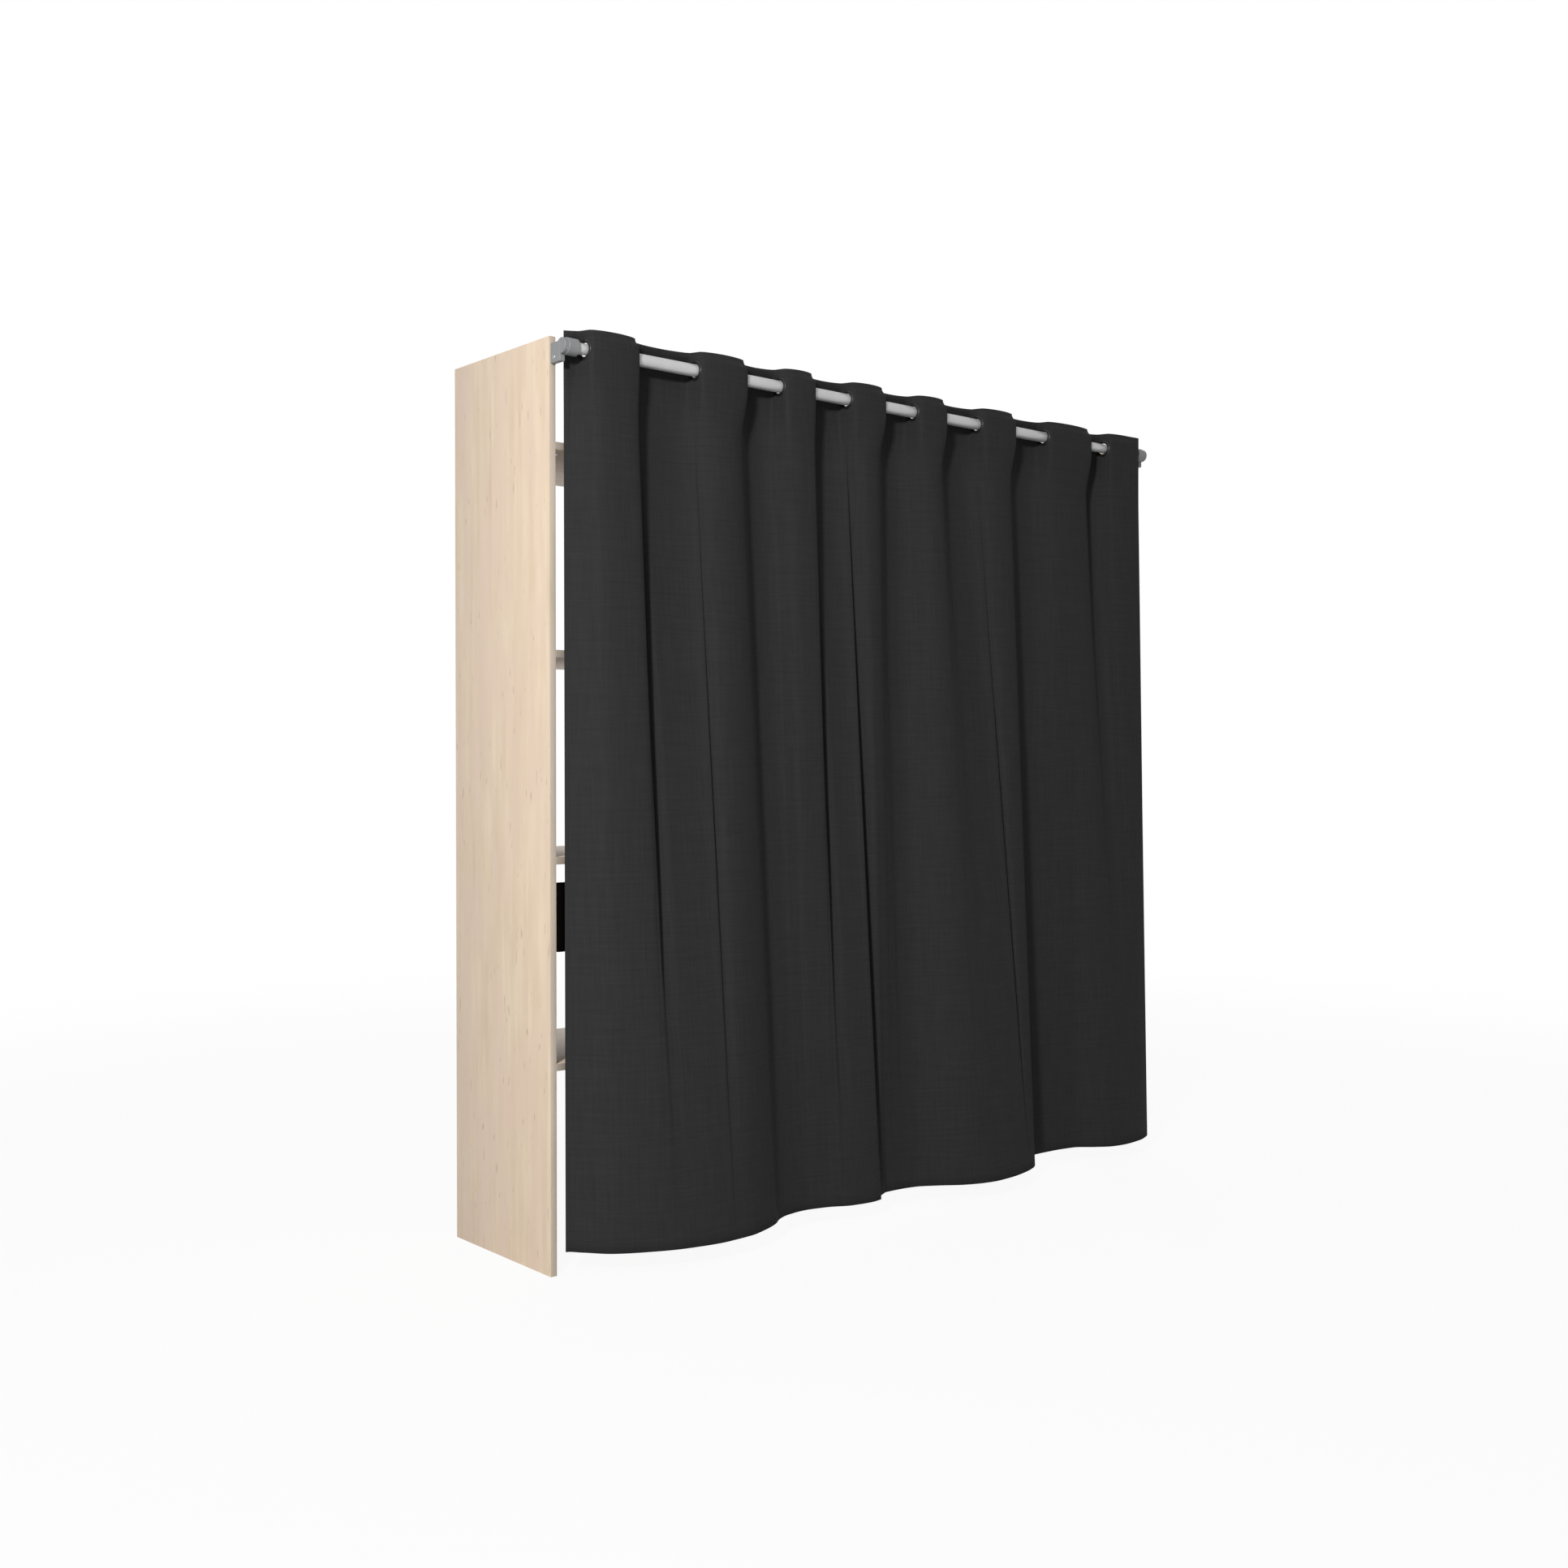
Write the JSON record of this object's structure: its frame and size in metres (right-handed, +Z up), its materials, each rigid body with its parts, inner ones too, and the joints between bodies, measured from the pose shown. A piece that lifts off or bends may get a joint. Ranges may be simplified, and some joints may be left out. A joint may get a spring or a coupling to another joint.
{
  "type": "curtain wardrobe",
  "caption": "Free-standing open wardrobe: two oak-look shelf columns joined by hanging rails, a drawer in the left one, and a long charcoal curtain on a rod across the front.",
  "frame": {"origin": "centre of the whole box at floor level, midway between the sides and between the fullest fold's front and the carcass's back", "axes": "+Z up, +X to the viewer's right along the width, -Y to the front, +Y to the back"},
  "size_m": [2, 0.61, 2.0442],
  "materials": {
    "oak_decor": "pale oak decor on chipboard, satin, upright grain",
    "black_board": "black melamine board, satin",
    "zinc_steel": "zinc-plated, satin",
    "rod_grey": "light grey lacquer, satin",
    "bracket_grey": "moulded, fine matt texture",
    "charcoal_cloth": "charcoal canvas, matt, fine plain weave",
    "eyelet_black": "black lacquered rings, satin"
  },
  "bodies": {
    "carcass": {"left_side_panel": "oak_decor", "left_inner_panel": "oak_decor", "left_shelf_1": "oak_decor", "left_shelf_2": "oak_decor", "left_shelf_3": "oak_decor", "left_shelf_4": "oak_decor", "left_rod_bracket": "bracket_grey", "left_bracket_cam": "zinc_steel", "left_bracket_bolt": "zinc_steel", "drawer_runner_fixed_left": "zinc_steel", "right_side_panel": "oak_decor", "right_inner_panel": "oak_decor", "right_shelf_1": "oak_decor", "right_shelf_2": "oak_decor", "right_shelf_3": "oak_decor", "right_shelf_4": "oak_decor", "right_rod_bracket": "bracket_grey", "right_bracket_cam": "zinc_steel", "right_bracket_bolt": "zinc_steel", "drawer_runner_fixed_right": "zinc_steel", "curtain_rod_left_tube": "rod_grey", "curtain_rod_middle_tube": "rod_grey", "curtain_rod_right_tube": "rod_grey", "upper_rail_outer_tube": "zinc_steel", "upper_rail_inner_tube": "zinc_steel", "upper_rail_left_flange": "zinc_steel", "upper_rail_right_flange": "zinc_steel", "lower_rail_outer_tube": "zinc_steel", "lower_rail_inner_tube": "zinc_steel", "lower_rail_left_flange": "zinc_steel", "lower_rail_right_flange": "zinc_steel", "curtain": "charcoal_cloth", "eyelet_16": "eyelet_black"},
    "drawer": {"drawer_front": "black_board", "drawer_back": "black_board", "drawer_bottom": "black_board", "drawer_side_left": "black_board", "drawer_side_right": "black_board", "drawer_runner_moving_left": "zinc_steel", "drawer_runner_moving_right": "zinc_steel"},
    "eyelet_slider_01": {"eyelet_01": "eyelet_black"},
    "eyelet_slider_02": {"eyelet_02": "eyelet_black"},
    "eyelet_slider_03": {"eyelet_03": "eyelet_black"},
    "eyelet_slider_04": {"eyelet_04": "eyelet_black"},
    "eyelet_slider_05": {"eyelet_05": "eyelet_black"},
    "eyelet_slider_06": {"eyelet_06": "eyelet_black"},
    "eyelet_slider_07": {"eyelet_07": "eyelet_black"},
    "eyelet_slider_08": {"eyelet_08": "eyelet_black"},
    "eyelet_slider_09": {"eyelet_09": "eyelet_black"},
    "eyelet_slider_10": {"eyelet_10": "eyelet_black"},
    "eyelet_slider_11": {"eyelet_11": "eyelet_black"},
    "eyelet_slider_12": {"eyelet_12": "eyelet_black"},
    "eyelet_slider_13": {"eyelet_13": "eyelet_black"},
    "eyelet_slider_14": {"eyelet_14": "eyelet_black"},
    "eyelet_slider_15": {"eyelet_15": "eyelet_black"}
  },
  "joints": [
    {"name": "drawer_slide", "type": "slide", "parent": "carcass", "child": "drawer", "axis": [0, -1, 0], "range_m": [0, 0.27]},
    {"name": "curtain_draw", "type": "slide", "parent": "carcass", "child": "eyelet_slider_01", "axis": [1, 0, 0], "range_m": [0, 1.412], "deforming": ["curtain"]},
    {"name": "eyelet_02_slide", "type": "slide", "parent": "carcass", "child": "eyelet_slider_02", "axis": [1, 0, 0], "range_m": [0, 1.3158]},
    {"name": "eyelet_03_slide", "type": "slide", "parent": "carcass", "child": "eyelet_slider_03", "axis": [1, 0, 0], "range_m": [0, 1.1886]},
    {"name": "eyelet_04_slide", "type": "slide", "parent": "carcass", "child": "eyelet_slider_04", "axis": [1, 0, 0], "range_m": [0, 1.086]},
    {"name": "eyelet_05_slide", "type": "slide", "parent": "carcass", "child": "eyelet_slider_05", "axis": [1, 0, 0], "range_m": [0, 1.0007]},
    {"name": "eyelet_06_slide", "type": "slide", "parent": "carcass", "child": "eyelet_slider_06", "axis": [1, 0, 0], "range_m": [0, 0.9284]},
    {"name": "eyelet_07_slide", "type": "slide", "parent": "carcass", "child": "eyelet_slider_07", "axis": [1, 0, 0], "range_m": [0, 0.8374]},
    {"name": "eyelet_08_slide", "type": "slide", "parent": "carcass", "child": "eyelet_slider_08", "axis": [1, 0, 0], "range_m": [0, 0.7536]},
    {"name": "eyelet_09_slide", "type": "slide", "parent": "carcass", "child": "eyelet_slider_09", "axis": [1, 0, 0], "range_m": [0, 0.6669]},
    {"name": "eyelet_10_slide", "type": "slide", "parent": "carcass", "child": "eyelet_slider_10", "axis": [1, 0, 0], "range_m": [0, 0.5903]},
    {"name": "eyelet_11_slide", "type": "slide", "parent": "carcass", "child": "eyelet_slider_11", "axis": [1, 0, 0], "range_m": [0, 0.4891]},
    {"name": "eyelet_12_slide", "type": "slide", "parent": "carcass", "child": "eyelet_slider_12", "axis": [1, 0, 0], "range_m": [0, 0.3923]},
    {"name": "eyelet_13_slide", "type": "slide", "parent": "carcass", "child": "eyelet_slider_13", "axis": [1, 0, 0], "range_m": [0, 0.2897]},
    {"name": "eyelet_14_slide", "type": "slide", "parent": "carcass", "child": "eyelet_slider_14", "axis": [1, 0, 0], "range_m": [0, 0.1567]},
    {"name": "eyelet_15_slide", "type": "slide", "parent": "carcass", "child": "eyelet_slider_15", "axis": [1, 0, 0], "range_m": [0, 0.0974]}
  ],
  "couplings": [
    {"joint": "eyelet_02_slide", "follows": "curtain_draw", "ratio": 0.93142},
    {"joint": "eyelet_03_slide", "follows": "curtain_draw", "ratio": 0.84135},
    {"joint": "eyelet_04_slide", "follows": "curtain_draw", "ratio": 0.76868},
    {"joint": "eyelet_05_slide", "follows": "curtain_draw", "ratio": 0.70829},
    {"joint": "eyelet_06_slide", "follows": "curtain_draw", "ratio": 0.65711},
    {"joint": "eyelet_07_slide", "follows": "curtain_draw", "ratio": 0.59263},
    {"joint": "eyelet_08_slide", "follows": "curtain_draw", "ratio": 0.53327},
    {"joint": "eyelet_09_slide", "follows": "curtain_draw", "ratio": 0.47185},
    {"joint": "eyelet_10_slide", "follows": "curtain_draw", "ratio": 0.4176},
    {"joint": "eyelet_11_slide", "follows": "curtain_draw", "ratio": 0.34596},
    {"joint": "eyelet_12_slide", "follows": "curtain_draw", "ratio": 0.27738},
    {"joint": "eyelet_13_slide", "follows": "curtain_draw", "ratio": 0.20471},
    {"joint": "eyelet_14_slide", "follows": "curtain_draw", "ratio": 0.11054},
    {"joint": "eyelet_15_slide", "follows": "curtain_draw", "ratio": 0.06858}
  ]
}
